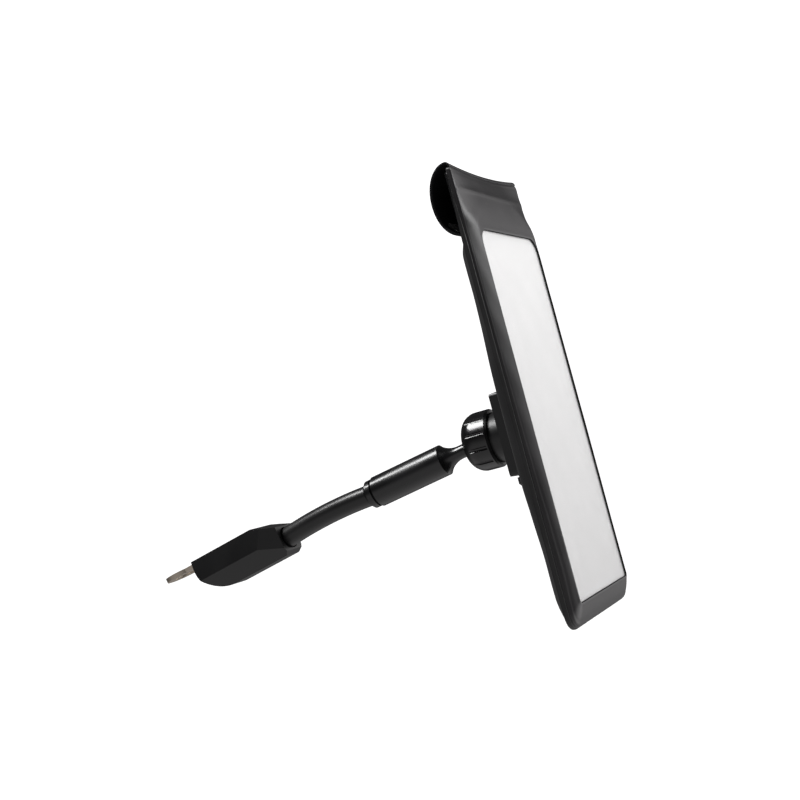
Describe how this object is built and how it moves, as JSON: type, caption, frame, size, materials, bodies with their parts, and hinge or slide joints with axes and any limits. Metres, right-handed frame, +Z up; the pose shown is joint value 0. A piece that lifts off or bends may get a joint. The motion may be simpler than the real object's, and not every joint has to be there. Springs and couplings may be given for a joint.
{
  "type": "scooter phone holder",
  "caption": "Soft black pouch with a clear window for a phone, on a lockable ball head with a ribbed collar nut, carried by a bendable sheathed arm whose eyelet plate is clamped under a mirror stem.",
  "frame": {"origin": "centre of the mirror stem's hole, halfway through the plate", "axes": "+X from the hole towards the pouch and out of its window, +Y across the pouch, +Z up along the pouch"},
  "size_m": [0.2274, 0.09, 0.2103],
  "materials": {
    "tab_steel": "satin",
    "screw_steel": "satin",
    "block_metal": "cast",
    "boot_plastic": "fine grain",
    "core_wire": "plain",
    "hose_rubber": "satin",
    "sleeve_metal": "satin black",
    "liner_plastic": "plain",
    "nut_plastic": "glossy",
    "socket_plastic": "satin",
    "plate_plastic": "satin",
    "latch_plastic": "satin",
    "board_plastic": "plain",
    "lining_fabric": "woven",
    "back_sheet": "coated cloth",
    "welt_rubber": "matte",
    "front_sheet": "coated sheet",
    "clear_film": "clear film",
    "rest_foam": "closed-cell foam",
    "tape_fabric": "hook and loop"
  },
  "bodies": {
    "arm_base": {"mirror_tab": "tab_steel", "tab_screws": "screw_steel", "clamp_block": "block_metal", "core_screw": "screw_steel", "boot_cover": "boot_plastic", "gooseneck_core": "core_wire", "gooseneck_sheath": "hose_rubber"},
    "arm_end": {"sleeve_cap": "sleeve_metal", "sleeve": "sleeve_metal", "ball_stud": "sleeve_metal"},
    "rear_liner": {"ball_liner_rear": "liner_plastic"},
    "front_liner": {"ball_liner_front": "liner_plastic"},
    "head": {"ball_socket": "socket_plastic", "socket_screws": "screw_steel", "mount_plate": "plate_plastic", "base_bracket": "plate_plastic", "bracket_screws": "screw_steel", "back_stiffener": "board_plastic", "pocket_lining": "lining_fabric", "back_panel": "back_sheet", "edge_welt": "welt_rubber", "front_frame": "front_sheet", "window_film": "clear_film", "foam_rest": "rest_foam", "closure_flap": "front_sheet", "hook_strip": "tape_fabric", "loop_strip": "tape_fabric"},
    "nut": {"collar_nut": "nut_plastic"},
    "latch": {"release_latch": "latch_plastic"}
  },
  "joints": [
    {"name": "gooseneck_bend", "type": "hinge", "parent": "arm_base", "child": "arm_end", "pos_m": [0.0879, 0, 0.0105], "axis": [0, 1, 0], "range_deg": [-25, 25], "deforming": ["gooseneck_core", "gooseneck_sheath"]},
    {"name": "ball_tilt", "type": "hinge", "parent": "arm_end", "child": "rear_liner", "pos_m": [0.17927, 0, 0.02467], "axis": [0, 1, 0], "range_deg": [-30, 12]},
    {"name": "ball_pan", "type": "hinge", "parent": "rear_liner", "child": "front_liner", "pos_m": [0.17927, 0, 0.02467], "axis": [0, 0, 1], "range_deg": [-20, 20]},
    {"name": "ball_roll", "type": "hinge", "parent": "front_liner", "child": "head", "pos_m": [0.17927, 0, 0.02467], "axis": [1, 0, 0], "continuous": true},
    {"name": "collar_turn", "type": "hinge", "parent": "head", "child": "nut", "pos_m": [0.17927, 0, 0.02467], "axis": [1, 0, 0], "range_deg": [0, 180]},
    {"name": "latch_slide", "type": "slide", "parent": "head", "child": "latch", "axis": [0, 0, 1], "range_m": [0, 0.003], "stiffness_N_per_m": 400}
  ]
}
